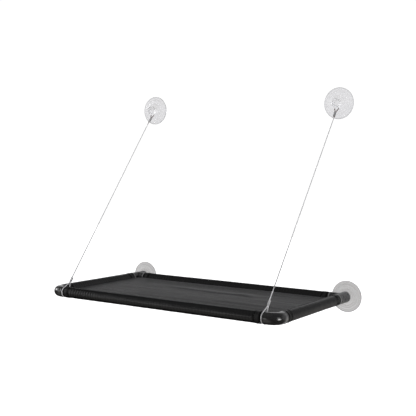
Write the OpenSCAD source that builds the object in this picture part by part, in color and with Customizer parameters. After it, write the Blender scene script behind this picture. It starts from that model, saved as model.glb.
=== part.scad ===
// Window perch for a cat: a fabric sling on a tube frame that plugs onto two
// suction cups and hangs by two wire ropes from two more. Millimetres.
// X runs along the window, +Y points into the glass, +Z is up. The origin is on
// the glass, midway between the two lower cups.

/* [Frame] */
// Distance between the two side tubes, axis to axis
frame_w = 538; // [500:2:580]
// Distance of the front tube's axis from the glass
front_y = 314; // [290:1:340]
// Distance of the rear tube's axis from the glass
rear_y = 33; // [33:1:36]
// Outside diameter of the tubes
tube_od = 19; // [18.6:0.2:19]
// Wall thickness of the tubes
tube_wall = 1.5; // [1:0.1:2]

/* [Elbows and tees] */
// Outside diameter of the elbows and tees
fit_od = 23; // [22.6:0.1:23.4]
// Length of each leg, from the corner axis to its mouth
leg = 24.5; // [24:0.1:24.8]
// How deep a tube sits in its socket
socket_d = 13.5; // [12:0.5:14]
// Centreline radius of the elbow's bend
bend_r = 17; // [16:0.5:18]
// Diameter of the passage behind the sockets
passage_d = 14; // [12:0.5:15]
// Width of the raised bead at each mouth
bead_w = 2.6; // [2:0.2:4]
// Height of that bead above the fitting
bead_h = 0.4; // [0.2:0.1:0.5]

/* [Fabric] */
// Thickness of the cloth, two layers at a hem
cloth_t = 1.6; // [1:0.1:1.7]
// Bare tube between a sleeve's end and the fitting beside it
sleeve_gap = 3.5; // [3:0.5:8]
// Bare tube at the front corners, where the wire loops sit
loop_gap = 6.5; // [5:0.5:10]
// Thickness of the seat panel
panel_t = 2; // [1.5:0.1:3]

/* [Suction cups] */
// Outside diameter of the cups
cup_d = 67; // [64:1:70]
// Height of the upper cups above the lower ones
upper_z = 408; // [360:1:450]
// Diameter of a cup's neck
neck_d = 11; // [10:0.2:11.4]
// Distance of the centre of a cup's head from the glass
head_y = 16.5; // [16:0.1:17]
// Diameter of the rounded head
head_d = 18.9; // [18.6:0.05:18.9]
// Length of the head along its axis
head_l = 7.4; // [6.8:0.2:7.6]

/* [Wires] */
// Diameter of the wire rope
wire_d = 2; // [1.6:0.1:2]
// Length of a crimped ferrule
ferrule_l = 11; // [8:0.5:12]
// Wall of a ferrule outside the wires
ferrule_wall = 0.8; // [0.6:0.1:1]

/* [Hidden] */
$fn = 72;

side_x = frame_w / 2;                 // side tube axis
mouth_x = side_x - leg;               // mouths that face along X
elbow_mouth_y = -front_y + leg;       // elbow mouth that faces the glass
tee_rear_y = -rear_y + leg;           // tee mouth at the cup
tee_front_y = -rear_y - leg;          // tee mouth that holds the side tube
tube_id = tube_od - 2 * tube_wall;
tube_end_x = mouth_x + socket_d;      // end of the front and rear tubes
sleeve_id = tube_od + 0.4;
sleeve_od = sleeve_id + 2 * cloth_t;
front_sleeve_x = mouth_x - loop_gap;
rear_sleeve_x = mouth_x - sleeve_gap;
wire_x = mouth_x - 2;                 // plane of each wire, and of the cup it hangs on
wr = wire_d / 2;

black = [0.09, 0.09, 0.10];
gloss = [0.06, 0.06, 0.065];
grey = [0.22, 0.22, 0.23];
cloth = [0.13, 0.13, 0.14];
clear = [0.88, 0.90, 0.91];
steel = [0.72, 0.73, 0.74];

function unit(v) = v / norm(v);

// ---- tubes ----------------------------------------------------------------

module pipe(l) {
    difference() {
        cylinder(d = tube_od, h = l);
        translate([0, 0, -1]) cylinder(d = tube_id, h = l + 2);
    }
}
module cross_tube(y) {
    color(black) translate([-tube_end_x, y, 0]) rotate([0, 90, 0]) pipe(2 * tube_end_x);
}
module side_tube(s) {
    y0 = elbow_mouth_y - socket_d;
    y1 = tee_front_y + socket_d;
    color(black) translate([s * side_x, y0, 0]) rotate([-90, 0, 0]) pipe(y1 - y0);
}

// ---- fittings -------------------------------------------------------------

// A leg with its bead, from the corner outwards along +Z, starting at z0.
module leg_body(z0) {
    translate([0, 0, z0]) cylinder(d = fit_od, h = leg - z0);
    translate([0, 0, leg - bead_w]) cylinder(d = fit_od + 2 * bead_h, h = bead_w);
}
module leg_bore(z0) {
    translate([0, 0, leg - socket_d]) cylinder(d = tube_od, h = socket_d + 1);
    translate([0, 0, z0]) cylinder(d = passage_d, h = leg - z0);
}
// Right-hand elbow about its corner: one leg along -X, one along +Y.
module elbow_at_corner() {
    difference() {
        union() {
            translate([-bend_r, bend_r, 0]) rotate([0, 0, -90])
                rotate_extrude(angle = 90) translate([bend_r, 0]) circle(d = fit_od);
            rotate([0, -90, 0]) leg_body(bend_r);
            rotate([-90, 0, 0]) leg_body(bend_r);
        }
        translate([-bend_r, bend_r, 0]) rotate([0, 0, -90])
            rotate_extrude(angle = 90) translate([bend_r, 0]) circle(d = passage_d);
        rotate([0, -90, 0]) leg_bore(bend_r);
        rotate([-90, 0, 0]) leg_bore(bend_r);
    }
}
// Right-hand tee about its centre: the run along Y, the branch along -X.
module tee_at_centre() {
    difference() {
        union() {
            rotate([90, 0, 0]) leg_body(-leg);
            rotate([-90, 0, 0]) leg_body(leg - bead_w);
            rotate([0, -90, 0]) leg_body(0);
        }
        rotate([90, 0, 0]) leg_bore(-leg);
        rotate([-90, 0, 0]) leg_bore(leg - socket_d - 0.1);
        rotate([0, -90, 0]) leg_bore(0);
    }
}
module elbow(s) {
    color(gloss) mirror([s < 0 ? 1 : 0, 0, 0])
        translate([side_x, -front_y, 0]) elbow_at_corner();
}
module tee(s) {
    color(grey) mirror([s < 0 ? 1 : 0, 0, 0])
        translate([side_x, -rear_y, 0]) tee_at_centre();
}

// ---- fabric ---------------------------------------------------------------

module sleeve(l) {
    difference() {
        cylinder(d = sleeve_od, h = l);
        translate([0, 0, -1]) cylinder(d = sleeve_id, h = l + 2);
    }
}
module cross_sleeve(y, half) {
    color(cloth) translate([-half, y, 0]) rotate([0, 90, 0]) sleeve(2 * half);
}
module side_sleeve(s) {
    y0 = elbow_mouth_y + sleeve_gap;
    y1 = tee_front_y - sleeve_gap;
    color(cloth) translate([s * side_x, y0, 0]) rotate([-90, 0, 0]) sleeve(y1 - y0);
}
// Flat sling between the sleeves, its front corners rounded round the elbows.
module seat_panel() {
    hx = side_x - fit_od / 2 - bead_h - 0.3;
    y0 = -front_y + fit_od / 2 + 1.3;
    y1 = -rear_y - fit_od / 2 - bead_h - 0.3;
    rc = 10;
    color(cloth) translate([0, 0, -panel_t / 2]) linear_extrude(panel_t) union() {
        translate([-hx, y0 + rc]) square([2 * hx, y1 - y0 - rc]);
        translate([-hx + rc, y0]) square([2 * (hx - rc), rc]);
        for (s = [-1, 1]) translate([s * (hx - rc), y0 + rc]) circle(r = rc);
    }
}

// ---- suction cups ---------------------------------------------------------

// Half section of a cup: [radius, distance from the glass].
function arc(r, c, a0, a1, n) =
    [for (i = [0 : n]) let (a = a0 + (a1 - a0) * i / n) [r * cos(a), c + r * sin(a)]];
head_a = asin(head_l / head_d);
cup_section = concat(
    [[0, 1.4], [14, 1.1], [20, 0.6], [23, 0]],
    [[cup_d / 2 - 0.5, 0], [cup_d / 2, 0.4], [cup_d / 2, 1.1], [cup_d / 2 - 0.4, 1.5]],
    [[30, 2.0], [24, 3.0], [18, 4.2], [13, 5.3], [11.5, 5.7], [9.5, 6.2], [7.4, 6.9], [6.1, 7.8]],
    [[neck_d / 2, 8.8], [neck_d / 2, head_y - head_l / 2]],
    arc(head_d / 2, head_y, -head_a, head_a, 8),
    [[7, head_y + head_l / 2 + 0.3], [4, head_y + head_l / 2 + 0.4], [0, head_y + head_l / 2 + 0.4]]);
module cup(x, z) {
    color(clear) translate([x, 0, z]) rotate([90, 0, 0])
        rotate_extrude() polygon(cup_section);
}

// ---- wires ----------------------------------------------------------------

// Section plane of a wire: [distance along Y, height]. The wire leaves the
// lower edge of the cup's head at bend_pt and runs straight to the front tube.
bend_pt = [-11, upper_z - 10.4];
rail_pt = [-front_y, 0];
run = norm(rail_pt - bend_pt);
dir = (rail_pt - bend_pt) / run;          // down the wire
side = [dir[1], -dir[0]];                 // across it, towards the front
strand = wr + 0.1;                        // half the distance between the strands
up_a = 12;                                // upper ferrule, from bend_pt
low_a = run - 25 - ferrule_l;             // lower ferrule, from bend_pt
wrap_r = tube_od / 2 + wr + 0.1;          // loop round the front tube
loop_r = neck_d / 2 + wr + 0.15;          // loop round the neck
loop_y = -10.4;

// Point in space at distance d down the wire, e across it and x along X.
function on_wire(d, e, x) =
    let (p = bend_pt + dir * d + side * e) [x, p[0], p[1]];

// Directions from the front tube's axis to the two strands' tangent points.
dir_a = atan2(-dir[1], -dir[0]);
hold = norm([25, strand]);
open_a = acos(wrap_r / hold);
lean_a = atan2(strand, 25);
wrap_from = dir_a - lean_a - open_a + 360;
wrap_to = dir_a + lean_a + open_a;

route = concat(
    // tail inside the upper ferrule, then the first leg up to the neck
    [on_wire(up_a + ferrule_l - 1, 0, -strand), on_wire(up_a + ferrule_l / 2, 0, -strand),
     on_wire(up_a, 0, -strand), on_wire(up_a - 2, 0, -strand - 0.35),
     on_wire(up_a - 5, 0, -strand - 1.3), on_wire(6 - 2, 0, -3.9),
     [-4.7, bend_pt[0] - 0.35, bend_pt[1] + 1.0],
     [-5.5, bend_pt[0] + 0.1, bend_pt[1] + 3.4], [-6.2, loop_y, upper_z - 4]],
    // over the top of the neck
    [for (a = [180 : -15 : 0]) [loop_r * cos(a), loop_y, upper_z + loop_r * sin(a)]],
    // second leg down into the ferrule
    [[6.2, loop_y, upper_z - 4], [5.5, bend_pt[0] + 0.1, bend_pt[1] + 3.4],
     [4.7, bend_pt[0] - 0.35, bend_pt[1] + 1.0], on_wire(6 - 2, 0, 3.9),
     on_wire(up_a - 5, 0, strand + 1.3), on_wire(up_a - 2, 0, strand + 0.35),
     on_wire(up_a, 0, strand), on_wire(up_a + ferrule_l, 0, strand)],
    // the long run
    [for (i = [1 : 5]) let (t = i / 6)
        on_wire(up_a + ferrule_l + (low_a - up_a - ferrule_l) * t, strand * t, strand * (1 - t))],
    // through the lower ferrule, round the front tube and back
    [on_wire(low_a, strand, 0), on_wire(run - 25, strand, 0)],
    [for (i = [0 : 16]) let (a = wrap_to + (wrap_from - wrap_to) * i / 16)
        [0, rail_pt[0] + wrap_r * cos(a), rail_pt[1] + wrap_r * sin(a)]],
    [on_wire(run - 25, -strand, 0), on_wire(low_a + ferrule_l / 2, -strand, 0),
     on_wire(low_a + 1, -strand, 0)]);

// A tube of the given radius swept along points, its frame carried along.
module sweep(pts, r, sides) {
    n = len(pts);
    tan = [for (i = [0 : n - 1])
        i == 0 ? unit(pts[1] - pts[0]) :
        i == n - 1 ? unit(pts[n - 1] - pts[n - 2]) :
        unit(unit(pts[i + 1] - pts[i]) + unit(pts[i] - pts[i - 1]))];
    nor = [for (i = 0, v = unit(cross(tan[0], [0, 1, 0.3])); i < n;
                i = i + 1, v = i < n ? unit(v - (v * tan[i]) * tan[i]) : v) v];
    rings = [for (i = [0 : n - 1], k = [0 : sides - 1])
        let (a = 360 * k / sides, b = cross(tan[i], nor[i]))
            pts[i] + r * (cos(a) * nor[i] + sin(a) * b)];
    quads = [for (i = [0 : n - 2], k = [0 : sides - 1])
        let (k1 = (k + 1) % sides)
            [[i * sides + k, i * sides + k1, (i + 1) * sides + k1],
             [i * sides + k, (i + 1) * sides + k1, (i + 1) * sides + k]]];
    polyhedron(rings, concat([for (q = quads, f = q) f],
        [[for (k = [sides - 1 : -1 : 0]) k]],
        [[for (k = [0 : sides - 1]) (n - 1) * sides + k]]));
}
module wire(s) {
    color(steel) mirror([s < 0 ? 1 : 0, 0, 0])
        translate([wire_x, 0, 0]) sweep(route, wr - 0.02, 8);
}

// Crimped sleeve with two bores. Its strands lie side by side along X, or along
// the other direction across the wire when turned by 90 degrees.
module ferrule(s, d, turn) {
    p = on_wire(d, 0, 0);
    a = atan2(dir[0], dir[1]);
    color(steel) mirror([s < 0 ? 1 : 0, 0, 0])
        translate([wire_x, p[1], p[2]]) rotate([-a, 0, 0]) rotate([0, 0, turn])
        linear_extrude(ferrule_l) difference() {
            union() {
                for (e = [-1, 1]) translate([e * strand, 0]) circle(r = wr + ferrule_wall);
                square([2 * strand, 2 * (wr + ferrule_wall)], center = true);
            }
            for (e = [-1, 1]) translate([e * strand, 0]) circle(r = wr + 0.05);
        }
}

module front_rail_tube() cross_tube(-front_y);
module rear_rail_tube() cross_tube(-rear_y);
module left_side_tube() side_tube(-1);
module right_side_tube() side_tube(1);
module left_front_elbow() elbow(-1);
module right_front_elbow() elbow(1);
module left_rear_tee() tee(-1);
module right_rear_tee() tee(1);
module front_sleeve() cross_sleeve(-front_y, front_sleeve_x);
module rear_sleeve() cross_sleeve(-rear_y, rear_sleeve_x);
module left_sleeve() side_sleeve(-1);
module right_sleeve() side_sleeve(1);
module left_lower_cup() cup(-side_x, 0);
module right_lower_cup() cup(side_x, 0);
module left_upper_cup() cup(-wire_x, upper_z);
module right_upper_cup() cup(wire_x, upper_z);
module left_wire() wire(-1);
module right_wire() wire(1);
module left_upper_ferrule() ferrule(-1, up_a, 0);
module right_upper_ferrule() ferrule(1, up_a, 0);
module left_lower_ferrule() ferrule(-1, low_a, 90);
module right_lower_ferrule() ferrule(1, low_a, 90);

front_rail_tube();
rear_rail_tube();
left_side_tube();
right_side_tube();
left_front_elbow();
right_front_elbow();
left_rear_tee();
right_rear_tee();
seat_panel();
front_sleeve();
rear_sleeve();
left_sleeve();
right_sleeve();
left_lower_cup();
right_lower_cup();
left_upper_cup();
right_upper_cup();
left_wire();
right_wire();
left_upper_ferrule();
right_upper_ferrule();
left_lower_ferrule();
right_lower_ferrule();
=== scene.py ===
import math

import bmesh
import bpy
import numpy as np
from mathutils import Matrix, Vector, noise


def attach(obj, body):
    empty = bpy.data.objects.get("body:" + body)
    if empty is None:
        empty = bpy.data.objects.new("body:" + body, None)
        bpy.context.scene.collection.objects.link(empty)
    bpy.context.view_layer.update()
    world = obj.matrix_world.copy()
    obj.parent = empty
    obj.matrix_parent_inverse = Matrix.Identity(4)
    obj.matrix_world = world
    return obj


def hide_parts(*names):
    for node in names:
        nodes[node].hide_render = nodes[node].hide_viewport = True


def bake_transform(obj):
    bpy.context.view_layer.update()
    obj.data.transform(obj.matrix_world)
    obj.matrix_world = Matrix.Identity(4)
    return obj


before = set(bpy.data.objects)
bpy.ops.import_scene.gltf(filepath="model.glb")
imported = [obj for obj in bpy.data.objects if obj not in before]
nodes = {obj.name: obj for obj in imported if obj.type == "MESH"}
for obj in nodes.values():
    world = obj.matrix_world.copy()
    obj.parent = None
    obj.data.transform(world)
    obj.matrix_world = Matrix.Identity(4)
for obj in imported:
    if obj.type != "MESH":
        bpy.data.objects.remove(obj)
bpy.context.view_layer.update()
scene = bpy.context.scene
MM = 0.001

# ---- dimensions, in millimetres, as in the CAD source ------------------------

SIDE_X = 269.0  # axis of a side tube
FRONT_Y, REAR_Y = -314.0, -33.0  # axes of the front and rear tubes
FIT_R = 11.5  # outside of an elbow or tee
BEAD_R, BEAD_W = 11.9, 2.6
BORE_R = 9.5
LEG, BEND_R, SOCKET = 24.5, 17.0, 13.5
MOUTH_X = SIDE_X - LEG
SLEEVE_IN, SLEEVE_R = 9.75, 11.3
WIRE_X, UPPER_Z = 242.5, 408.0
HEAD_Y, HEAD_R, HEAD_L, NECK_R, CUP_R = 16.5, 9.45, 7.4, 5.5, 33.5

# ---- camera ------------------------------------------------------------------

yaw, pitch, roll = 0.5792, -0.0494, 0.0116
fwd = Vector((-math.sin(yaw) * math.cos(pitch), math.cos(yaw) * math.cos(pitch), math.sin(pitch)))
rgt = Vector((math.cos(yaw), math.sin(yaw), 0))
up = rgt.cross(fwd)
rgt, up = math.cos(roll) * rgt + math.sin(roll) * up, math.cos(roll) * up - math.sin(roll) * rgt
cam_data = bpy.data.cameras.new("camera")
cam_data.sensor_width = 36.0
cam_data.lens = 767.4 / 416 * 36
cam_data.clip_start, cam_data.clip_end = 0.05, 50
cam = bpy.data.objects.new("camera", cam_data)
scene.collection.objects.link(cam)
cam.matrix_world = Matrix.Translation(Vector((905.1, -1514.4, 264.0)) * MM) @ Matrix(
    (rgt, up, -fwd)
).transposed().to_4x4()
scene.camera = cam

# ---- node helpers ------------------------------------------------------------


class Nodes:
    """A short way to write a node tree."""

    def __init__(self, tree):
        self.tree = tree

    def add(self, kind, inputs=None, **settings):
        n = self.tree.nodes.new(kind)
        for k, v in settings.items():
            setattr(n, k, v)
        for k, v in (inputs or {}).items():
            self.put(n.inputs[k], v)
        return n

    def put(self, socket, value):
        if hasattr(value, "is_output"):
            self.tree.links.new(value, socket)
        else:
            socket.default_value = value

    def math(self, op, a, b=0.0, clamp=False):
        n = self.add("ShaderNodeMath", {0: a, 1: b}, operation=op)
        n.use_clamp = clamp
        return n.outputs[0]

    def remap(self, value, a, b, c, d, kind="LINEAR"):
        n = self.add("ShaderNodeMapRange", {0: value, 1: a, 2: b, 3: c, 4: d})
        n.interpolation_type = kind
        return n.outputs[0]

    def mix(self, f, a, b):
        n = self.add("ShaderNodeMix", data_type="RGBA")
        self.put(n.inputs[0], f)
        self.put(n.inputs[6], a)
        self.put(n.inputs[7], b)
        return n.outputs[2]

    def noise(self, vector, scale, detail=2.0, rough=0.5):
        n = self.add("ShaderNodeTexNoise", {"Vector": vector, "Scale": scale, "Detail": detail, "Roughness": rough})
        return n.outputs["Fac"]

    def scaled(self, vector, by):
        n = self.add("ShaderNodeVectorMath", {0: vector, 1: by}, operation="MULTIPLY")
        return n.outputs[0]

    def bump(self, height, strength, distance, normal=None):
        n = self.add("ShaderNodeBump", {"Height": height, "Strength": strength, "Distance": distance})
        if normal is not None:
            self.put(n.inputs["Normal"], normal)
        return n.outputs[0]


def material(name, **shader):
    """A Principled material; returns it, its node writer and its shader."""
    m = bpy.data.materials.new(name)
    m.use_nodes = True
    m.node_tree.nodes.clear()
    w = Nodes(m.node_tree)
    out = w.add("ShaderNodeOutputMaterial")
    s = w.add("ShaderNodeBsdfPrincipled")
    m.node_tree.links.new(s.outputs[0], out.inputs[0])
    for k, v in shader.items():
        w.put(s.inputs[k.replace("_", " ")], v)
    return m, w, s


def grey(v, tint=(1.0, 1.0, 1.0)):
    return (v * tint[0], v * tint[1], v * tint[2], 1.0)


# ---- materials ---------------------------------------------------------------


def fabric(name, dark, light, pitch_u, pitch_v, rib, rough, spec, spec_edge, sheen, bars=0.0, fold=0.0, relief=0.55):
    """Black cloth. Its UV map is in millimetres: U along the piece, V across it."""
    m, w, s = material(
        name,
        Roughness=rough,
        Sheen_Weight=sheen,
        Sheen_Roughness=0.35,
        Sheen_Tint=grey(0.55),
    )
    uv = w.add("ShaderNodeUVMap", uv_map="UVMap").outputs[0]
    xyz = w.add("ShaderNodeSeparateXYZ", {0: uv})
    warp = w.noise(w.scaled(uv, (0.05, 0.05, 0.05)), 1.0, 1.0)
    u = w.math("ADD", w.math("MULTIPLY", xyz.outputs[0], 2 * math.pi / pitch_u), w.math("MULTIPLY", warp, 5.0))
    v = w.math("ADD", w.math("MULTIPLY", xyz.outputs[1], 2 * math.pi / pitch_v), w.math("MULTIPLY", warp, 3.0))
    # yarns over and under: the warp shows where the weft dips
    su, sv = w.math("SINE", u), w.math("SINE", v)
    weave = w.math("MULTIPLY", su, sv)
    ribs = w.math("ABSOLUTE", w.math("SINE", w.math("MULTIPLY", u, 0.5)))
    height = w.math("ADD", w.math("MULTIPLY", weave, 0.5 * (1 - rib)), w.math("MULTIPLY", ribs, rib))
    fuzz = w.noise(w.scaled(uv, (3.1, 3.1, 3.1)), 1.0, 3.0, 0.65)
    cloud = w.noise(w.scaled(uv, (0.02, 0.045, 0.03)), 1.0, 3.0, 0.6)
    tone = w.math("ADD", w.math("MULTIPLY", height, 0.28), w.math("MULTIPLY", fuzz, 0.35))
    tone = w.math("ADD", tone, w.math("MULTIPLY", cloud, 0.45), clamp=True)
    cloth = w.mix(tone, grey(dark), grey(light))
    matt = w.remap(fuzz, 0.3, 0.7, rough - 0.07, rough + 0.07)
    # yarns hide each other at a low angle, so cloth shines less there than a smooth skin
    facing = w.add("ShaderNodeLayerWeight", {"Blend": 0.5}).outputs["Facing"]
    shine = w.remap(facing, 0.28, 0.50, spec, spec_edge)
    if bars:
        matt = w.math("MAXIMUM", matt, w.remap(facing, 0.66, 0.88, 0.0, 0.62))
        # short upright bands where the mesh is drawn together, clearest at the left end
        x = w.add("ShaderNodeSeparateXYZ", {0: w.add("ShaderNodeTexCoord").outputs["Object"]}).outputs[0]
        where = w.remap(x, -0.20, -0.08, 1.0, 0.35, "SMOOTHSTEP")
        drift = w.math("MULTIPLY", w.noise(w.scaled(uv, (0.03, 0.10, 0.05)), 1.0, 2.0), 9.0)
        band = w.math("SINE", w.math("ADD", w.math("MULTIPLY", xyz.outputs[0], 2 * math.pi / 6.9), drift))
        shine = w.math("MULTIPLY", shine, w.math("ADD", 1.0, w.math("MULTIPLY", w.math("MULTIPLY", band, bars), where)))
    if fold:
        # one long pressed fold across the middle, shiny on its crest and dull in front of it
        at = w.add("ShaderNodeSeparateXYZ", {0: w.add("ShaderNodeTexCoord").outputs["Object"]}).outputs
        wander = w.math("MULTIPLY", w.math("SUBTRACT", w.noise(w.scaled(uv, (0.012, 0.004, 0.01)), 1.0, 2.0), 0.5), 0.030)
        y = w.math("ADD", at[1], wander)
        crest = w.remap(w.math("ABSOLUTE", w.math("ADD", y, 0.109)), 0.002, 0.010, 1.0, 0.0, "SMOOTHSTEP")
        dull = w.remap(w.math("ABSOLUTE", w.math("ADD", y, 0.130)), 0.003, 0.012, 0.45, 0.0, "SMOOTHSTEP")
        ends = w.math("MULTIPLY", w.remap(at[0], -0.14, -0.06, 0.0, 1.0, "SMOOTHSTEP"), w.remap(at[0], 0.09, 0.16, 1.0, 0.0, "SMOOTHSTEP"))
        line = w.math("MULTIPLY", w.math("SUBTRACT", crest, dull), ends)
        shine = w.math("MULTIPLY", shine, w.math("ADD", 1.0, w.math("MULTIPLY", line, fold)))
        # flatter yarns along the front seam; painted light: the cloth's colour is lighter along the rear and left
        # seams, against the sleeves' shade and dark reflection there, and a little darker towards the front
        low = w.remap(at[0], -0.22, -0.06, 1.0, 0.45, "SMOOTHSTEP")
        front = w.math("ADD", low, w.math("MULTIPLY", w.math("SUBTRACT", 1.0, low), w.remap(at[1], -0.250, -0.135, 0.0, 1.0, "SMOOTHSTEP")))
        front = w.math("MAXIMUM", front, w.remap(at[1], -0.298, -0.293, 1.30, 0.0))
        shine = w.math("MULTIPLY", shine, front)
        painted_seam_light = w.remap(at[1], -0.082, -0.050, 1.0, 1.6, "SMOOTHSTEP")
        painted_seam_light = w.math("MULTIPLY", painted_seam_light, w.remap(at[0], -0.240, -0.190, 1.55, 1.0, "SMOOTHSTEP"))
        painted_seam_light = w.math("MULTIPLY", painted_seam_light, w.remap(at[1], -0.240, -0.130, 0.85, 1.0, "SMOOTHSTEP"))
        cloth = w.add("ShaderNodeVectorMath", {0: cloth, "Scale": painted_seam_light}, operation="SCALE").outputs[0]
    w.put(s.inputs["Specular IOR Level"], shine)
    w.put(s.inputs["Base Color"], cloth)
    w.put(s.inputs["Roughness"], matt)
    n = w.bump(height, relief, 0.00022)
    w.put(s.inputs["Normal"], w.bump(fuzz, 0.25, 0.0001, n))
    return m


seat_mat = fabric("seat_cloth", 0.020, 0.042, 1.3, 1.1, 0.15, 0.35, 0.028, 0.028, 0.0, fold=1.7)
sleeve_mat = fabric("sleeve_cloth", 0.003, 0.009, 1.7, 1.5, 0.40, 0.22, 0.32, 0.044, 0.0, bars=0.6, relief=0.32)
hem_mat = fabric("hem_tape", 0.006, 0.014, 1.0, 1.0, 0.4, 0.36, 0.20, 0.06, 0.0)


def thread_material():
    m, w, s = material("thread", Specular_IOR_Level=0.10)
    p = w.add("ShaderNodeTexCoord").outputs["Object"]
    f = w.noise(w.scaled(p, (1000, 1000, 1000)), 1.6, 2.0)
    w.put(s.inputs["Base Color"], w.mix(f, grey(0.004), grey(0.012)))
    w.put(s.inputs["Roughness"], w.remap(f, 0.3, 0.7, 0.5, 0.68))
    w.put(s.inputs["Normal"], w.bump(f, 0.4, 0.0001))
    return m


thread_mat = thread_material()


def moulded(name, dark, light, rough, spread, grain, grain_mm, spec=0.5, coat=0.0, mottle=0.0):
    """Moulded plastic: flow tone, fine grain, light scuffs and a parting line."""
    m, w, s = material(name, Specular_IOR_Level=spec, Coat_Weight=coat, Coat_Roughness=0.12)
    p = w.scaled(w.add("ShaderNodeTexCoord").outputs["Object"], (1000, 1000, 1000))
    fine = w.noise(p, 1 / grain_mm, 3.0, 0.6)
    flow = w.noise(w.scaled(p, (0.06, 0.06, 0.14)), 1.0, 4.0, 0.6)
    scuff = w.noise(w.scaled(p, (0.5, 0.5, 2.2)), 1.0, 5.0, 0.75)
    mark = w.remap(scuff, 0.62, 0.74, 0.0, 1.0)
    z = w.add("ShaderNodeSeparateXYZ", {0: p}).outputs[2]
    line = w.remap(w.math("ABSOLUTE", z), 0.08, 0.34, 1.0, 0.0, "SMOOTHSTEP")
    tone = w.math("ADD", w.math("MULTIPLY", fine, 0.45), w.math("MULTIPLY", flow, 0.55), clamp=True)
    patch = w.remap(w.noise(w.scaled(p, (0.42, 0.16, 0.42)), 1.0, 2.0, 0.6), 0.38, 0.62, -mottle, mottle)
    tone = w.math("ADD", tone, patch, clamp=True)
    base = w.mix(tone, grey(dark), grey(light))
    w.put(s.inputs["Base Color"], w.mix(w.math("MULTIPLY", mark, 0.25), base, grey(light * 1.6)))
    r = w.math("ADD", w.remap(flow, 0.3, 0.7, rough - spread, rough + spread), w.math("MULTIPLY", mark, 0.12))
    w.put(s.inputs["Roughness"], w.math("ADD", r, w.math("MULTIPLY", patch, 0.12)))
    n = w.bump(line, 0.35, 0.00012)
    if mottle:
        # an uneven, slightly leathery skin
        n = w.bump(w.noise(w.scaled(p, (0.36, 0.30, 0.36)), 1.0, 2.0, 0.55), 0.6, 0.0005, n)
    w.put(s.inputs["Normal"], w.bump(fine, 0.35, grain, n))
    return m


elbow_mat = moulded("elbow_plastic", 0.009, 0.015, 0.17, 0.04, 0.00002, 1.4, 0.55, 0.25)
tee_mat = moulded("tee_plastic", 0.004, 0.047, 0.36, 0.09, 0.00012, 0.9, 0.36, 0.0, 0.8)
# painted highlight: the tee's beads are the same plastic as its body, painted lighter to stand in for the light caught
# on their rounded edges
bead_highlight_mat = moulded("tee_bead_painted_highlight", 0.120, 0.200, 0.30, 0.05, 0.00008, 0.9, 0.5)
tube_mat = moulded("tube_plastic", 0.005, 0.009, 0.55, 0.06, 0.00004, 0.9, 0.06)


def cup_material(name, rough, through, rim, ior):
    m, w, s = material(name, IOR=ior, Transmission_Weight=through, Specular_IOR_Level=0.3)
    p = w.scaled(w.add("ShaderNodeTexCoord").outputs["Object"], (1000, 1000, 1000))
    flow = w.noise(w.scaled(p, (0.07, 0.07, 0.07)), 1.0, 3.0, 0.55)
    fine = w.noise(w.scaled(p, (0.5, 0.5, 0.5)), 1.0, 3.0, 0.6)
    clear = w.mix(flow, (0.94, 0.94, 0.955, 1), (0.985, 0.985, 0.99, 1))
    # painted shade by distance from the cup's own axis: faint dark rings in step with the moulded ridges, and a darker
    # lip, standing in for how the clear vinyl bends the light there
    at = w.add("ShaderNodeSeparateXYZ", {0: p}).outputs
    high = w.remap(at[2], UPPER_Z / 2, UPPER_Z / 2 + 1, 0.0, 1.0)
    dx = w.math("SUBTRACT", w.math("ABSOLUTE", at[0]), w.math("ADD", SIDE_X, w.math("MULTIPLY", high, WIRE_X - SIDE_X)))
    dz = w.math("SUBTRACT", at[2], w.math("MULTIPLY", high, UPPER_Z))
    far = w.math("SQRT", w.math("ADD", w.math("MULTIPLY", dx, dx), w.math("MULTIPLY", dz, dz)))
    wave = w.math("SINE", w.math("ADD", w.math("MULTIPLY", far, 2 * math.pi / 4.6), w.math("MULTIPLY", flow, 3.0)))
    painted_rings = w.remap(wave, -1.0, 1.0, 0.0, 0.15)
    painted_ring_shade = w.math("ADD", painted_rings, w.remap(far, 31.0, 32.8, 0.0, 0.50), clamp=True)
    clear = w.mix(painted_ring_shade, clear, (0.66, 0.66, 0.68, 1))
    # painted shade: at glancing angles the colour turns to the rim grey (dark on the cup, near white on the head), a
    # dark outline standing in for the light the clear vinyl bends away at its edges
    edge = w.remap(w.add("ShaderNodeLayerWeight", {"Blend": 0.5}).outputs["Facing"], 0.45, 0.85, 0.0, 1.0, "SMOOTHSTEP")
    w.put(s.inputs["Base Color"], w.mix(edge, clear, grey(rim, (1, 1, 1.015))))
    w.put(s.inputs["Roughness"], w.remap(fine, 0.3, 0.7, rough - 0.03, rough + 0.04))
    w.put(s.inputs["Normal"], w.bump(w.math("ADD", w.math("MULTIPLY", fine, 0.15), flow), 0.15, 0.0003))
    return m


cup_mat = cup_material("cup_vinyl", 0.17, 0.88, 0.66, 1.30)
head_mat = cup_material("cup_head_vinyl", 0.45, 0.88, 0.97, 1.18)


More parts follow.
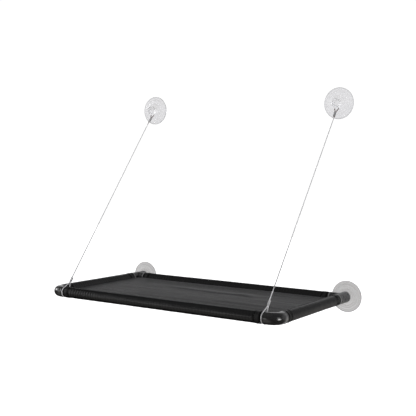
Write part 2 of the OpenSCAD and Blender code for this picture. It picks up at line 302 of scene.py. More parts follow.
def metal(name, dark, light, rough, grain_mm, metallic, clear=0.0):
    m, w, s = material(name, Metallic=metallic, Transmission_Weight=clear, IOR=1.2 if clear else 1.5)
    p = w.scaled(w.add("ShaderNodeTexCoord").outputs["Object"], (1000, 1000, 1000))
    fine = w.noise(p, 1 / grain_mm, 3.0, 0.6)
    dirt = w.noise(w.scaled(p, (0.12, 0.12, 0.12)), 1.0, 3.0)
    tone = w.math("ADD", w.math("MULTIPLY", fine, 0.5), w.math("MULTIPLY", dirt, 0.5), clamp=True)
    base = w.mix(tone, grey(dark, (1, 1, 1.02)), grey(light, (1, 1, 1.01)))
    if clear:
        # darker and browner just above the upper ferrules
        at = w.add("ShaderNodeSeparateXYZ", {0: p}).outputs
        z = at[2]
        brown_band = w.math("MULTIPLY", w.remap(z, 373, 378, 0.0, 1.0), w.remap(z, 395, 399, 1.0, 0.0))
        base = w.mix(brown_band, base, (0.26, 0.20, 0.19, 1))
        # darker towards the platform, and lighter again where it wraps the front rail
        height_tone = w.math("MULTIPLY", w.remap(z, 100, 150, 0.70, 1.0, "SMOOTHSTEP"), w.remap(z, 40, 110, 0.86, 1.0))
        end = w.math("SUBTRACT", z, w.remap(at[0], -10, 10, 0.0, 22.0))
        height_tone = w.math("MAXIMUM", height_tone, w.remap(end, 22, 34, 1.12, 0.0))
        base = w.add("ShaderNodeVectorMath", {0: base, "Scale": height_tone}, operation="SCALE").outputs[0]
        # painted light: the loop round the neck glows, standing in for the light that reaches it through the clear
        # vinyl round it
        w.put(s.inputs["Emission Color"], (1, 1, 1, 1))
        w.put(s.inputs["Emission Strength"], w.remap(z, 396, 400, 0.0, 0.30))
    w.put(s.inputs["Base Color"], base)
    w.put(s.inputs["Roughness"], w.remap(fine, 0.3, 0.7, rough - 0.06, rough + 0.08))
    w.put(s.inputs["Normal"], w.bump(fine, 0.3, 0.00005))
    return m


wire_mat = metal("wire_steel", 0.74, 0.90, 0.36, 0.5, 0.20, 0.40)
ferrule_mat = metal("ferrule_aluminium", 0.55, 0.76, 0.40, 0.35, 0.8)

# ---- mesh helpers ------------------------------------------------------------


def piece(name, points, faces, mats, body, replaces=(), uv=None, face_mats=None, sharp=None):
    """A mesh object from points in millimetres, which rides on a body."""
    me = bpy.data.meshes.new(name)
    me.from_pydata((np.asarray(points, float) * MM).tolist(), [], [list(map(int, f)) for f in faces])
    for m in mats:
        me.materials.append(m)
    me.polygons.foreach_set("use_smooth", [True] * len(me.polygons))
    if face_mats is not None:
        me.polygons.foreach_set("material_index", list(map(int, face_mats)))
    if uv is not None:
        layer = me.uv_layers.new(name="UVMap")
        index = np.zeros(len(me.loops), np.int32)
        me.loops.foreach_get("vertex_index", index)
        layer.data.foreach_set("uv", np.asarray(uv, np.float32)[index].ravel())
    me.update()
    if sharp is not None:
        me.set_sharp_from_angle(angle=math.radians(sharp))
    o = bpy.data.objects.new(name, me)
    scene.collection.objects.link(o)
    if body is not None:
        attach(o, body)
    if replaces:
        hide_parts(*replaces)
    return o


def strip_faces(rows, cols, wrap=True, loop=False, start=0):
    """Quads of a grid whose points run row by row."""
    out = []
    for i in range(rows if loop else rows - 1):
        a, b = start + i * cols, start + (i + 1) % rows * cols
        for j in range(cols if wrap else cols - 1):
            k = (j + 1) % cols
            out.append((a + j, a + k, b + k, b + j))
    return out


def ring(centre, a, b, radius, n):
    t = np.arange(n) * 2 * math.pi / n
    r = np.broadcast_to(radius, (n,))
    return np.asarray(centre, float) + r[:, None] * (np.cos(t)[:, None] * np.asarray(a, float) + np.sin(t)[:, None] * np.asarray(b, float))


def n3(x, y=0.0, z=0.0):
    return noise.noise(Vector((x, y, z)))


def smooth01(t):
    t = np.clip(t, 0, 1)
    return t * t * (3 - 2 * t)


# ---- wire ropes --------------------------------------------------------------

bend_pt = np.array([-11.0, UPPER_Z - 10.4])
rail_pt = np.array([FRONT_Y, 0.0])
run = float(np.linalg.norm(rail_pt - bend_pt))
wdir = (rail_pt - bend_pt) / run
wside = np.array([wdir[1], -wdir[0]])
STRAND, FERRULE = 1.1, 11.0
UP_A, LOW_A = 12.0, run - 25 - FERRULE
WRAP_R, LOOP_R, LOOP_Y = 10.6, 6.65, -10.4


def on_wire(d, e, x):
    p = bend_pt + wdir * d + wside * e
    return [x, p[0], p[1]]


def wire_route():
    """The points of a wire's middle, as the CAD source has them."""
    dir_a = math.degrees(math.atan2(-wdir[1], -wdir[0]))
    hold = math.hypot(25, STRAND)
    open_a = math.degrees(math.acos(WRAP_R / hold))
    lean_a = math.degrees(math.atan2(STRAND, 25))
    a0, a1 = dir_a - lean_a - open_a + 360, dir_a + lean_a + open_a
    y, z = bend_pt
    pts = [on_wire(UP_A + FERRULE - 1, 0, -STRAND), on_wire(UP_A + FERRULE / 2, 0, -STRAND),
           on_wire(UP_A, 0, -STRAND), on_wire(UP_A - 2, 0, -STRAND - 0.35),
           on_wire(UP_A - 5, 0, -STRAND - 1.3), on_wire(4, 0, -3.9),
           [-4.7, y - 0.35, z + 1.0], [-5.5, y + 0.1, z + 3.4], [-6.2, LOOP_Y, UPPER_Z - 4]]
    for a in range(180, -1, -15):
        pts.append([LOOP_R * math.cos(math.radians(a)), LOOP_Y, UPPER_Z + LOOP_R * math.sin(math.radians(a))])
    pts += [[6.2, LOOP_Y, UPPER_Z - 4], [5.5, y + 0.1, z + 3.4], [4.7, y - 0.35, z + 1.0],
            on_wire(4, 0, 3.9), on_wire(UP_A - 5, 0, STRAND + 1.3), on_wire(UP_A - 2, 0, STRAND + 0.35),
            on_wire(UP_A, 0, STRAND), on_wire(UP_A + FERRULE, 0, STRAND)]
    for i in range(1, 6):
        t = i / 6
        pts.append(on_wire(UP_A + FERRULE + (LOW_A - UP_A - FERRULE) * t, STRAND * t, STRAND * (1 - t)))
    pts += [on_wire(LOW_A, STRAND, 0), on_wire(run - 25, STRAND, 0)]
    for i in range(17):
        a = math.radians(a1 + (a0 - a1) * i / 16)
        pts.append([0, rail_pt[0] + WRAP_R * math.cos(a), rail_pt[1] + WRAP_R * math.sin(a)])
    pts += [on_wire(run - 25, -STRAND, 0), on_wire(LOW_A + FERRULE / 2, -STRAND, 0), on_wire(LOW_A + 1, -STRAND, 0)]
    return np.array(pts, float)


def smoothed(pts, step):
    """A centripetal Catmull-Rom curve through the points, evenly spaced."""
    ext = np.vstack([2 * pts[0] - pts[1], pts, 2 * pts[-1] - pts[-2]])
    out = []
    for i in range(1, len(ext) - 2):
        p0, p1, p2, p3 = ext[i - 1 : i + 3]
        t = [0.0]
        for a, b in ((p0, p1), (p1, p2), (p2, p3)):
            t.append(t[-1] + max(np.linalg.norm(b - a), 1e-6) ** 0.5)
        t0, t1, t2, t3 = t
        for s in np.linspace(t1, t2, 24, endpoint=False):
            a1 = (t1 - s) / (t1 - t0) * p0 + (s - t0) / (t1 - t0) * p1
            a2 = (t2 - s) / (t2 - t1) * p1 + (s - t1) / (t2 - t1) * p2
            a3 = (t3 - s) / (t3 - t2) * p2 + (s - t2) / (t3 - t2) * p3
            b1 = (t2 - s) / (t2 - t0) * a1 + (s - t0) / (t2 - t0) * a2
            b2 = (t3 - s) / (t3 - t1) * a2 + (s - t1) / (t3 - t1) * a3
            out.append((t2 - s) / (t2 - t1) * b1 + (s - t1) / (t2 - t1) * b2)
    out = np.array(out + [pts[-1]])
    d = np.concatenate([[0], np.cumsum(np.linalg.norm(np.diff(out, axis=0), axis=1))])
    at = np.linspace(0, d[-1], int(d[-1] / step) + 1)
    return np.stack([np.interp(at, d, out[:, k]) for k in range(3)], axis=1), float(d[-1])


def wire(side, name):
    """Six strands laid round each other, swept along the route."""
    path, long = smoothed(wire_route(), 0.62)
    path = path * np.array([side, 1, 1]) + np.array([side * WIRE_X, 0, 0])
    tan = np.gradient(path, axis=0)
    tan /= np.linalg.norm(tan, axis=1)[:, None]
    nor = np.cross(tan[0], [0, 1, 0.3])
    step = long / (len(path) - 1)
    n = 24
    phi = np.arange(n) * 2 * math.pi / n
    rows = []
    for i in range(len(path)):
        nor = nor - (nor @ tan[i]) * tan[i]
        nor /= np.linalg.norm(nor)
        b = np.cross(tan[i], nor)
        # the ring turns with the strands, so each edge line lies along a strand
        twist = side * 2 * math.pi * i * step / 8.6
        turned, b = math.cos(twist) * nor + math.sin(twist) * b, math.cos(twist) * b - math.sin(twist) * nor
        r = 0.82 + 0.17 * np.abs(np.cos(3 * phi)) ** 0.75
        end = min(i, len(path) - 1 - i)
        r = r * (0.62 if end == 0 else 0.9 if end == 1 else 1.0)
        rows.append(ring(path[i], turned, b, r, n))
    faces = strip_faces(len(rows), n)
    pts = np.vstack(rows)
    last = (len(rows) - 1) * n
    faces += [tuple(range(n - 1, -1, -1)), tuple(range(last, last + n))]
    o = piece(name + "_rope", pts, faces, [wire_mat], None, [name], sharp=60)
    return o, path, long


def ferrule(side, name, d, along_x, body):
    """A crimped sleeve round two strands, pressed flat in three bands."""
    axis = np.array([0, wdir[0], wdir[1]])
    across = np.array([1.0, 0, 0])
    other = np.array([0, wside[0], wside[1]])
    wide, thin = (across, other) if along_x else (other, across)
    p0 = np.array(on_wire(d, 0, 0))
    n = 40
    t = np.arange(n) * 2 * math.pi / n
    rows = []
    prof = [(0.0, 0.62), (0.02, 0.90), (0.15, 0.965), (0.4, 1.0)]
    zs = list(np.arange(0.8, FERRULE - 0.75, 0.3))
    prof = [(-0.0, 0.70)] + prof[1:] + [(z, 1.0) for z in zs] + [(FERRULE - z, k) for z, k in reversed(prof)]
    for z, k in prof:
        press = sum(math.exp(-(((z - c) / 0.95) ** 4)) for c in (2.4, 5.5, 8.6))
        a = (2.9 * (1 + 0.035 * press)) * k
        b = (1.8 * (1 - 0.15 * press)) * k
        e = 2.6  # between an ellipse and a box: the sleeve has flat sides
        c, s = np.cos(t), np.sin(t)
        q = (np.abs(c) ** e + np.abs(s) ** e) ** (-1 / e)
        rows.append(p0 + axis * z + (a * q * c)[:, None] * wide + (b * q * s)[:, None] * thin)
    pts = np.vstack(rows)
    faces = strip_faces(len(rows), n)
    last = (len(rows) - 1) * n
    faces += [tuple(range(n - 1, -1, -1)), tuple(range(last, last + n))]
    pts = pts * np.array([side, 1, 1]) + np.array([side * WIRE_X, 0, 0])
    if side < 0:
        faces = [f[::-1] for f in faces]
    return piece(name + "_crimp", pts, faces, [ferrule_mat], body, [name], sharp=50)


for side, word in ((-1, "left"), (1, "right")):
    up_f = ferrule(side, word + "_upper_ferrule", UP_A, True, "window_side")
    low_f = ferrule(side, word + "_lower_ferrule", LOW_A, False, "platform")
    rope, path, long = wire(side, word + "_wire")
    a, b = on_wire(UP_A + FERRULE + 5, 0, side * WIRE_X), on_wire(LOW_A - 5, 0, side * WIRE_X)
    [v * MM for v in a]
    [v * MM for v in b]
    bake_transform(rope)

# ---- suction cups ------------------------------------------------------------


def cup_profile():
    """[radius, distance from the glass], from the middle of the hollow to the head's nose."""
    hollow = [(r, 1.4 - 0.0015 * r * r + (0.07 * math.sin(r * 1.9) if 4 < r < 19 else 0)) for r in np.arange(0, 20, 1.0)]
    hollow += [(20, 0.62), (21, 0.45), (22, 0.22), (23, 0.05), (24, 0.02), (28, 0.0), (32.4, 0.0)]
    rim = [(33.0, 0.06), (33.35, 0.25), (33.5, 0.6), (33.5, 1.2), (33.4, 1.65), (33.15, 2.0), (32.75, 2.22),
           (32.3, 2.28), (31.85, 2.2), (31.45, 1.98), (31.15, 1.75)]
    base = np.array([(31.3, 1.55), (30, 2.0), (24, 3.0), (18, 4.2), (13, 5.3), (11.5, 5.7), (9.5, 6.2), (7.4, 6.9),
                     (6.1, 7.8), (5.5, 8.8)])
    slope = []
    for r in np.arange(30.9, 8.0, -0.3):
        d = float(np.interp(-r, -base[:, 0], base[:, 1]))
        # low concentric ridges of the moulding
        d += 0.18 * math.sin((31.3 - r) * 2 * math.pi / 5.2) * float(smooth01((r - 11) / 4)) - 0.12 * float(smooth01((31.2 - r) / 1.5))
        slope.append((r, d))
    neck = [(7.6, 6.85), (6.8, 7.25), (6.15, 7.75), (5.75, 8.3), (5.5, 8.9), (5.5, 10.0), (5.5, 11.2), (5.55, 12.0), (5.9, 12.45), (6.6, 12.7)]
    a = math.asin(HEAD_L / 2 / HEAD_R)
    head = [(7.7, 12.72), (8.35, 12.78)]
    head += [(HEAD_R * math.cos(t), HEAD_Y + HEAD_R * math.sin(t)) for t in np.linspace(-a * 0.97, a * 0.9, 9)]
    nose = [(8.35, 20.35), (7.9, 20.52), (7.0, 20.55), (5.6, 20.6), (4.0, 20.62), (2.0, 20.62), (0.0, 20.62)]
    body = hollow + rim + slope + neck
    return body + head + nose, len(body)


def cup(name, x, z):
    prof, frosted = cup_profile()
    n = 96
    rows = [ring((x, -d, z), (1, 0, 0), (0, 0, 1), max(r, 0.0), n) for r, d in prof[1:-1]]
    pts = np.vstack([[[x, -prof[0][1], z]]] + rows + [[[x, -prof[-1][1], z]]])
    k = len(rows)
    faces = strip_faces(k, n, start=1)
    faces = [f[::-1] for f in faces]
    faces += [(0, 1 + j, 1 + (j + 1) % n) for j in range(n)]
    s = 1 + (k - 1) * n
    faces += [(s + (j + 1) % n, s + j, 1 + k * n) for j in range(n)]
    faces = [f[::-1] for f in faces]
    mats = [1 if i // n >= frosted - 2 else 0 for i in range((k - 1) * n)] + [0] * n + [1] * n
    return piece(name + "_vinyl", pts, faces, [cup_mat, head_mat], "window_side", [name], face_mats=mats, sharp=55)


for side, word in ((-1, "left"), (1, "right")):
    cup(word + "_lower_cup", side * SIDE_X, 0)
    cup(word + "_upper_cup", side * WIRE_X, UPPER_Z)

# ---- elbows and tees ---------------------------------------------------------


def bead_profile():
    """[distance from the mouth, radius] down a leg, from its bore round the lip and bead to its body."""
    pts = [(11.5, BORE_R + 0.03), (6.0, BORE_R + 0.03), (1.0, BORE_R + 0.05), (0.55, BORE_R + 0.12), (0.2, BORE_R + 0.38),
           (0.05, BORE_R + 0.75), (0.0, BORE_R + 1.1), (0.0, BEAD_R - 0.75), (0.06, BEAD_R - 0.42), (0.22, BEAD_R - 0.16),
           (0.45, BEAD_R - 0.03), (0.7, BEAD_R), (1.9, BEAD_R), (2.15, BEAD_R - 0.05), (2.38, BEAD_R - 0.17),
           (2.55, BEAD_R - 0.3), (2.75, FIT_R + 0.03), (3.1, FIT_R), (4.2, FIT_R), (5.5, FIT_R)]
    return pts


def elbow(name, side):
    n = 72
    rows = []
    cx, cy = side * SIDE_X, FRONT_Y
    lead = bead_profile()
    for s, r in lead:
        rows.append(ring((cx - side * (LEG - s), cy, 0), (0, -1, 0), (0, 0, 1), r, n))
    c = np.array([cx - side * BEND_R, cy + BEND_R, 0.0])
    for a in np.linspace(0, math.pi / 2, 34):
        out = np.array([side * math.sin(a), -math.cos(a), 0])
        rows.append(ring(c + BEND_R * out, out, (0, 0, 1), FIT_R, n))
    for s, r in reversed(lead):
        rows.append(ring((cx, cy + (LEG - s), 0), (side, 0, 0), (0, 0, 1), r, n))
    pts = np.vstack(rows)
    faces = strip_faces(len(rows), n)
    if side > 0:
        faces = [f[::-1] for f in faces]
    faces = [f[::-1] for f in faces]
    return piece(name + "_moulding", pts, faces, [elbow_mat], "platform", [name], sharp=70)


def lathe(name, centre, axis, profile, n=96):
    """A closed solid of revolution; the profile is [distance along the axis, radius]."""
    axis = np.asarray(axis, float)
    a = np.cross(axis, [0, 0, 1.0])
    b = np.cross(axis, a)
    rows = [ring(np.asarray(centre, float) + axis * s, a, b, r, n) for s, r in profile]
    faces = strip_faces(len(rows), n)
    last = (len(rows) - 1) * n
    faces += [tuple(range(n - 1, -1, -1)), tuple(range(last, last + n))]
    me = bpy.data.meshes.new(name)
    me.from_pydata(np.vstack(rows).tolist(), [], faces)
    bm = bmesh.new()
    bm.from_mesh(me)
    bmesh.ops.recalc_face_normals(bm, faces=bm.faces)
    bm.to_mesh(me)
    bm.free()
    o = bpy.data.objects.new(name, me)
    scene.collection.objects.link(o)
    return o


def tee(name, side):
    """A run and a branch with rounded beads, joined into one skin and bored."""
    c = (side * SIDE_X, REAR_Y, 0)
    lip = [(LEG - s, r) for s, r in bead_profile()[8:]]
    run_half = lip[::-1]
    outer = lathe("tee_run", c, (0, -1, 0), [(-s, r) for s, r in lip] + run_half)
    branch = lathe("tee_branch", c, (-side, 0, 0), [(0, FIT_R - 0.02), (4.0, FIT_R - 0.02), (12.0, FIT_R)] + run_half)
    stop, far = LEG - SOCKET, LEG + 1
    mouth = [(stop, BORE_R + 0.02), (LEG - 0.7, BORE_R + 0.03), (LEG - 0.25, BORE_R + 0.2), (LEG, BORE_R + 0.5), (far, BORE_R + 1.4)]
    bore_run = lathe("tee_bore", c, (0, -1, 0), [(-s, r) for s, r in mouth[::-1]] + [(-stop + 0.01, 7.0), (stop - 0.01, 7.0)] + mouth)
    bore_branch = lathe("tee_bore_2", c, (-side, 0, 0), [(0, 7.0), (stop - 0.01, 7.0)] + mouth)
    for kind, other in (("UNION", branch), ("DIFFERENCE", bore_run), ("DIFFERENCE", bore_branch)):
        mod = outer.modifiers.new(kind.lower(), "BOOLEAN")
        mod.operation, mod.object, mod.solver = kind, other, "EXACT"
    done = bpy.data.meshes.new_from_object(outer.evaluated_get(bpy.context.evaluated_depsgraph_get()))
    pts = [tuple(v.co) for v in done.vertices]
    faces = [tuple(p.vertices) for p in done.polygons]
    for o in (outer, branch, bore_run, bore_branch):
        me = o.data
        bpy.data.objects.remove(o)
        bpy.data.meshes.remove(me)
    bpy.data.meshes.remove(done)
    # the bead faces take the lighter copy of the plastic, a painted highlight
    mats = []
    for f in faces:
        m = np.mean([pts[i] for i in f], axis=0) - np.array(c)
        along_run, along_branch = abs(m[1]), -side * m[0]
        bead = (along_run > LEG - BEAD_W - 0.1 and math.hypot(m[0], m[2]) > FIT_R - 0.3) or (
            along_branch > LEG - BEAD_W - 0.1 and math.hypot(m[1], m[2]) > FIT_R - 0.3)
        mats.append(1 if bead else 0)
    return piece(name + "_moulding", pts, faces, [tee_mat, bead_highlight_mat], "platform", [name], face_mats=mats, sharp=35)


for side, word in ((-1, "left"), (1, "right")):
    elbow(word + "_front_elbow", side)
    tee(word + "_rear_tee", side)
for n in ("front_rail_tube", "rear_rail_tube", "left_side_tube", "right_side_tube"):
    nodes[n].data.materials.clear()
    nodes[n].data.materials.append(tube_mat)

# ---- fabric ------------------------------------------------------------------

stitches = []  # (start, end, outward normal) of each stitch, in millimetres


def sleeve(name, origin, along, inboard, length, seed, gathers=lambda q: 0.0, hem=9.5):
    """A cloth tunnel round a tube: round outside, drawn to a sewn edge on its inboard side."""
    origin, along, inboard = (np.asarray(v, float) for v in (origin, along, inboard))
    zed = np.array([0, 0, 1.0])
    n = 88
    ends = np.array([0, 0.25, 0.6, 1.1, 1.8, 3.0, 4.2, 5.4, 6.6, 7.6, 8.4, 8.9, 9.3, 9.7, 10.2, 10.8, 11.5, 12.2, 12.7, 13.2, 13.8])
    mid = np.linspace(ends[-1], length - ends[-1], max(8, int((length - 2 * ends[-1]) / 1.5)) + 1)
    s_all = np.concatenate([ends[:-1], mid, length - ends[:-1][::-1]])
    th = (np.arange(n) + 0.5) * 2 * math.pi / n - math.pi  # 0 is inboard
    tip = SLEEVE_R + 3.4
    open_a = math.acos(SLEEVE_R / tip)
    # radius of the teardrop: a circle, and two tangent lines to the sewn edge
    flat = SLEEVE_R / np.maximum(np.cos(np.abs(th) - open_a), 0.2)
    tear = np.where(np.abs(th) < open_a, np.minimum(flat, tip), SLEEVE_R)
    rows, uv = [], []
    around = np.concatenate([[0], np.cumsum(np.full(n - 1, SLEEVE_R * 2 * math.pi / n))])
    for s in s_all:
        edge = min(s, length - s)
        lift = 0.42 * float(1 - smooth01((edge - hem + 0.3) / 0.6)) if edge < hem + 1 else 0.0
        lift -= 0.50 * math.exp(-(((edge - hem - 1.9) / 1.7) ** 4))
        if edge < 1.1:
            lift -= 0.55 * (1 - math.sqrt(max(0.0, 1 - (1 - edge / 1.1) ** 2)))
        pull = 0.5 + 0.5 * np.cos(th)
        ripple = np.array([
            0.16 * n3(s / 17.0, t * 1.4, seed) + 0.11 * p * p * n3(s / 6.5, 3.0 + t, seed + 5)
            for t, p in zip(th, pull)
        ])
        long_fold = np.array([0.15 * n3(s / 90.0, 2.2 * t, seed + 9) for t in th])
        fade = float(smooth01(edge / 14))
        # small gathers drawn up by the seam
        wave = math.sin(2 * math.pi * s / 6.6 + 2.5 * n3(s / 40, 1.0, seed))
        gather = (0.03 + 0.16 * smooth01(0.5 + 1.6 * n3(s / 70, 8.0, seed + 2) + gathers(s / length))) * wave
        drawn = min(max(2 * gathers(s / length), 0.0), 1.0)
        r = tear + lift + (ripple + long_fold) * (0.35 + 0.65 * fade) + gather * fade * np.maximum(0.35 + 0.65 * pull, 0.8 * drawn)
        c = origin + along * s
        rows.append(c + r[:, None] * (np.cos(th)[:, None] * inboard + np.sin(th)[:, None] * zed))
        uv.append(np.stack([np.full(n, s), around], 1))
    k = len(rows)
    # the tunnel's inside, seen at its two ends
    for s in (length - 0.1, length - 4, length / 2, 4, 0.1):
        c = origin + along * s
        rr = np.where(np.abs(th) < open_a, np.minimum(tear - 1.3, SLEEVE_IN + 2.2), SLEEVE_IN)
        rows.append(c + rr[:, None] * (np.cos(th)[:, None] * inboard + np.sin(th)[:, None] * zed))
        uv.append(np.stack([np.full(n, s), around], 1))
    faces = strip_faces(len(rows), n, loop=True)
    mats = []
    s_ext = list(s_all) + [length, length, length / 2, 0, 0]
    for i in range(len(rows)):
        m = (s_ext[i] + s_ext[(i + 1) % len(rows)]) / 2
        mats += [2 if min(m, length - m) < 1.9 else 1 if min(m, length - m) < hem else 0] * n
    if np.dot(np.cross(inboard, zed), along) < 0:
        faces = [f[::-1] for f in faces]
    o = piece(name + "_cloth", np.vstack(rows), faces, [sleeve_mat, hem_mat, thread_mat], "platform", [name],
              uv=np.vstack(uv), face_mats=mats, sharp=60)
    # a row of stitches round each hem, and two rows along the sewn edge
    def at(s, t, extra=0.0):
        flat_r = SLEEVE_R / max(math.cos(abs(t) - open_a), 0.2)
        r = (min(flat_r, tip) if abs(t) < open_a else SLEEVE_R) + extra
        return origin + along * s + r * (math.cos(t) * inboard + math.sin(t) * zed)

    for s in (hem - 2.0, length - hem + 2.0):
        for q in range(20):
            t0 = -math.pi + (q + 0.15) * 2 * math.pi / 20
            t1 = t0 + 0.62 * 2 * math.pi / 20
            if min(abs(t0), abs(t1)) < 0.25:
                continue
            stitches.append((at(s, t0, 0.42), at(s, t1, 0.42), at(s, (t0 + t1) / 2, 1) - at(s, (t0 + t1) / 2)))
    for s, way in ((hem + 0.55, 1), (length - hem - 0.55, -1)):
        zig = 84
        for q in range(zig):
            t0, t1 = -math.pi + q * 2 * math.pi / zig, -math.pi + (q + 0.93) * 2 * math.pi / zig
            if abs((t0 + t1) / 2) < 0.2:
                continue
            a, b = (s, s + way * 2.9) if q % 2 else (s + way * 2.9, s)
            stitches.append((at(a, t0, -0.10), at(b, t1, -0.10), at(s, (t0 + t1) / 2, 1) - at(s, (t0 + t1) / 2)))
    a = 3.0
    while a < length - 5:
        for up_down in (1, -1):
            t = up_down * 0.13
            out = at(a, t, 1) - at(a, t)
            stitches.append((at(a, t, -0.05), at(a + 2.6, t, -0.05), (0, 0, up_down)))
        a += 3.7
    return o


front_x, rear_x = MOUTH_X - 6.5, MOUTH_X - 3.5


def gathered_left(q):
    return 0.95 * math.exp(-(((q - 0.12) / 0.12) ** 2)) - 0.35


side_y0, side_y1 = FRONT_Y + LEG + 3.5, REAR_Y - LEG - 3.5
sleeve("front_sleeve", (-front_x, FRONT_Y, 0), (1, 0, 0), (0, 1, 0), 2 * front_x, 3.1, gathered_left)
sleeve("rear_sleeve", (-rear_x, REAR_Y, 0), (1, 0, 0), (0, -1, 0), 2 * rear_x, 7.7)
sleeve("left_sleeve", (-SIDE_X, side_y0, 0), (0, 1, 0), (1, 0, 0), side_y1 - side_y0, 11.3)
sleeve("right_sleeve", (SIDE_X, side_y0, 0), (0, 1, 0), (-1, 0, 0), side_y1 - side_y0, 15.9)

PANEL_X, PANEL_Y0, PANEL_Y1, CORNER = 256.8, -301.2, -45.2, 10.0


def panel_height(x, y):
    """The stretched cloth: a slight sag, soft creases along X, and pulls towards the corners."""
    u, v = x / PANEL_X, (y - PANEL_Y0) / (PANEL_Y1 - PANEL_Y0) * 2 - 1
    z = -1.2 * (1 - abs(u) ** 2.2) * (1 - abs(v) ** 2.2)
    creases = ((-122, 2.4, 19, 0, 165), (-84, 0.8, 12, 110, 110), (-160, 1.1, 17, 100, 130), (-172, 0.9, 15, -130, 120),
               (-205, 1.2, 18, 20, 170), (-66, 0.6, 10, -120, 120), (-240, 1.0, 16, -60, 170), (-270, 0.3, 13, 80, 180))
    for i, (y0, h, wide, x0, span) in enumerate(creases):
        yy = y0 + 4.0 * n3(x / 130, i * 7.3) + 0.010 * x * math.sin(i * 2.1)
        reach = math.exp(-(((x - x0) / span) ** 4) * 0.9) * (0.8 + 0.6 * n3(x / 60, i * 3.1, 4))
        t = (y - yy) / wide
        z += h * reach * math.exp(-(t * t) * (1.0 if t > 0 else 0.8))
    z += 0.80 * n3(x / 150, y / 22, 2.0) + 0.38 * n3(x / 70, y / 11, 9.0)
    z += 1.7 * math.exp(-(((y + 56) / (15.0 if y < -56 else 40.0)) ** 2)) * smooth01((PANEL_X - abs(x)) / 40)
    for cx, cy, amp in ((PANEL_X, PANEL_Y1, 0.5), (-PANEL_X, PANEL_Y1, 0.5), (PANEL_X, PANEL_Y0, 0.5), (-PANEL_X, PANEL_Y0, 0.5)):
        dx, dy = x - cx, y - cy
        d = math.hypot(dx, dy)
        a = math.atan2(abs(dy), abs(dx))
        z += amp * math.exp(-d / 60) * math.cos(a * 13 + cx) * smooth01(d / 14) * smooth01((170 - d) / 60)
    hold = smooth01((PANEL_X - abs(x)) / 9) * smooth01((y - PANEL_Y0) / 9) * smooth01((PANEL_Y1 - y) / 9)
    return float(z * hold)


def seat_panel():
    cols = 176
    fine = np.array([0, 0.6, 1.2, 2.2, 3.4, 4.8, 6.4, 8.2, 10.0])
    ys = np.concatenate([PANEL_Y0 + fine, np.arange(PANEL_Y0 + 11.6, PANEL_Y1 - 10.5, 1.75), PANEL_Y1 - fine[::-1]])
    t = np.linspace(-1, 1, cols)
    t = np.sign(t) * (1 - (1 - np.abs(t)) ** 1.06)
    top, bottom, uv = [], [], []
    for y in ys:
        k = y - PANEL_Y0
        half = PANEL_X if k >= CORNER else PANEL_X - CORNER + math.sqrt(max(0, CORNER**2 - (CORNER - k) ** 2))
        for q in t:
            x = q * half
            edge = min(half - abs(x), y - PANEL_Y0, PANEL_Y1 - y)
            thick = 0.85 if edge < 5.6 else 0.55 + 0.3 * float(1 - smooth01((edge - 5.6) / 0.9))
            thick *= math.sqrt(max(0.0, 1 - max(0.0, 1 - edge / 0.8) ** 2)) if edge < 0.8 else 1.0
            z = panel_height(x, y)
            top.append((x, y, z + thick))
            bottom.append((x, y, z - thick))
            uv.append((x, y))
    rows = len(ys)
    n = rows * cols
    faces = strip_faces(rows, cols, wrap=False)
    under = [(a + n, d + n, c + n, b + n) for a, b, c, d in faces]
    rim = [i for i in range(cols)] + [i * cols + cols - 1 for i in range(1, rows)]
    rim += [(rows - 1) * cols + i for i in range(cols - 2, -1, -1)] + [i * cols for i in range(rows - 2, 0, -1)]
    sides = [(a, a + n, b + n, b) for a, b in zip(rim, rim[1:] + rim[:1])]
    o = piece("seat_panel_cloth", top + bottom, faces + under + sides, [seat_mat], "platform",
              ["seat_panel"], uv=uv + uv, sharp=75)
    return o


seat_panel()


def thread():
    """Every stitch as a short bowed thread that dips into the cloth at both ends."""
    pts, faces = [], []
    n = 6
    for a, b, out in stitches:
        a, b, out = (np.asarray(v, float) for v in (a, b, out))
        d = b - a
        long = np.linalg.norm(d)
        d /= long
        out = out - (out @ d) * d
        out /= np.linalg.norm(out)
        across = np.cross(d, out)
        base = len(pts)
        for f, h, r in ((0.0, -0.28, 0.12), (0.1, 0.02, 0.24), (0.35, 0.13, 0.27), (0.65, 0.13, 0.27), (0.9, 0.02, 0.24), (1.0, -0.28, 0.12)):
            pts.extend(ring(a + d * long * f + out * h, out, across, r, n))
        faces += strip_faces(6, n, start=base)
        faces += [tuple(base + j for j in range(n - 1, -1, -1)), tuple(base + 5 * n + j for j in range(n))]
    o = piece("seam_thread", pts, faces, [thread_mat], "platform")
    return o


thread()

# ---- floor and light ---------------------------------------------------------

floor_me = bpy.data.meshes.new("floor")
floor_me.from_pydata([(-9, -9, -0.75), (9, -9, -0.75), (9, 9, -0.75), (-9, 9, -0.75)], [], [(0, 1, 2, 3)])
floor = bpy.data.objects.new("floor", floor_me)
scene.collection.objects.link(floor)
floor_mat, w, s = material("floor", Base_Color=grey(0.9), Roughness=0.9, Emission_Color=grey(1.0), Emission_Strength=0.7)
floor_me.materials.append(floor_mat)
floor.visible_diffuse = False
floor.visible_glossy = False
floor.visible_transmission = False

world = bpy.data.worlds.new("studio")
world.use_nodes = True
world.node_tree.nodes.clear()
scene.world = world
w = Nodes(world.node_tree)
out = w.add("ShaderNodeOutputWorld")
direction = w.add("ShaderNodeTexCoord").outputs["Generated"]


def glow(centre, inner, outer, strength):
    """A soft round patch of light in one direction."""
    c = Vector(centre).normalized()
    dot = w.add("ShaderNodeVectorMath", {0: direction, 1: c}, operation="DOT_PRODUCT").outputs["Value"]
    return w.remap(dot, math.cos(math.radians(outer)), math.cos(math.radians(inner)), 0.0, strength, "SMOOTHSTEP")


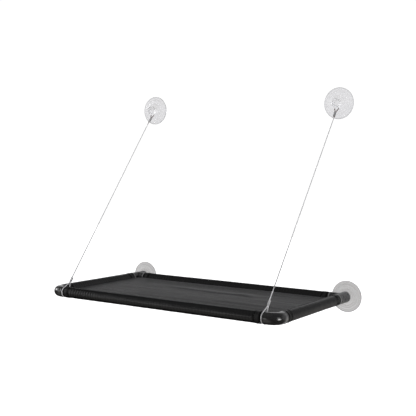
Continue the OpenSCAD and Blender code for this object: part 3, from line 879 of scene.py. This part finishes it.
total = 0.13
for patch in (
    ((-0.52, 0.85, 0.12), 18, 37, 0.73),
    ((0.70, 0.70, 0.10), 22, 46, 0.44),
    ((0.14, 0.90, -0.42), 12, 32, 0.75),
    ((0.43, 0.89, -0.15), 8, 24, 0.60),
    ((0.96, -0.24, -0.12), 8, 15, 12.0),
    ((-0.94, -0.12, 0.26), 6, 13, 6.0),
    ((-0.80, -0.55, 0.28), 8, 16, 1.6),
    ((-0.63, -0.77, -0.02), 6, 13, 1.15),
    ((-0.48, -0.86, -0.07), 6, 12, 1.20),
    ((0.0, 0.0, 1.0), 20, 80, 0.04),
    ((0.08, 0.87, 0.48), 12, 31, 0.42),
    ((-0.51, -0.39, 0.79), 15, 40, 0.05),
    ((-0.45, -0.75, -0.60), 12, 42, 0.60),
):
    total = w.math("ADD", glow(*patch), total)
height = w.add("ShaderNodeSeparateXYZ", {0: direction}).outputs[2]
total = w.math("MULTIPLY", total, w.remap(height, -0.25, 0.08, 0.70, 1.0))
tint = w.mix(w.remap(height, -0.25, 0.15, 0.0, 1.0), (1.0, 0.978, 0.950, 1), (0.985, 0.985, 1.0, 1))
sky = w.add("ShaderNodeBackground", {"Color": tint, "Strength": total})
# what shows through the clear cups: the pale room behind them
room = w.math("ADD", w.math("MULTIPLY", w.math("MINIMUM", total, 1.2), 0.24), 0.67)
dim = w.math("ADD", w.remap(height, -0.26, 0.06, 0.53, 1.02), w.remap(height, -0.50, -0.27, 0.42, 0.0))
room = w.math("MULTIPLY", room, dim)
through = w.add("ShaderNodeBackground", {"Color": tint, "Strength": room})
# the even light of the whole pale room on matt surfaces
even = w.add("ShaderNodeBackground", {"Color": tint, "Strength": w.remap(height, -0.8, 0.8, 0.50, 0.72)})
white = w.add("ShaderNodeBackground", {"Color": (1, 1, 1, 1), "Strength": 1.05})
path = w.add("ShaderNodeLightPath")
sky = w.add("ShaderNodeMixShader", {0: path.outputs["Is Diffuse Ray"], 1: sky.outputs[0], 2: even.outputs[0]})
both = w.add("ShaderNodeMixShader", {0: path.outputs["Is Transmission Ray"], 1: sky.outputs[0], 2: through.outputs[0]})
both = w.add("ShaderNodeMixShader", {0: path.outputs["Is Camera Ray"], 1: both.outputs[0], 2: white.outputs[0]})
w.put(out.inputs["Surface"], both.outputs[0])


def softbox(name, place, aim, size, power):
    d = bpy.data.lights.new(name, "AREA")
    d.shape, d.size, d.size_y, d.energy = "RECTANGLE", size[0], size[1], power
    o = bpy.data.objects.new(name, d)
    scene.collection.objects.link(o)
    o.location = place
    o.rotation_mode = "QUATERNION"
    o.rotation_quaternion = (Vector(aim) - Vector(place)).to_track_quat("-Z", "Y")
    o.visible_camera = False
    return o


softbox("softbox_right", (2.2, -0.9, 0.4), (0, -0.15, 0.15), (0.9, 1.3), 5)
softbox("softbox_left", (-2.3, -0.8, 1.0), (0, -0.15, 0.1), (0.9, 1.3), 5)

scene.view_settings.view_transform = "Standard"
scene.view_settings.look = "None"
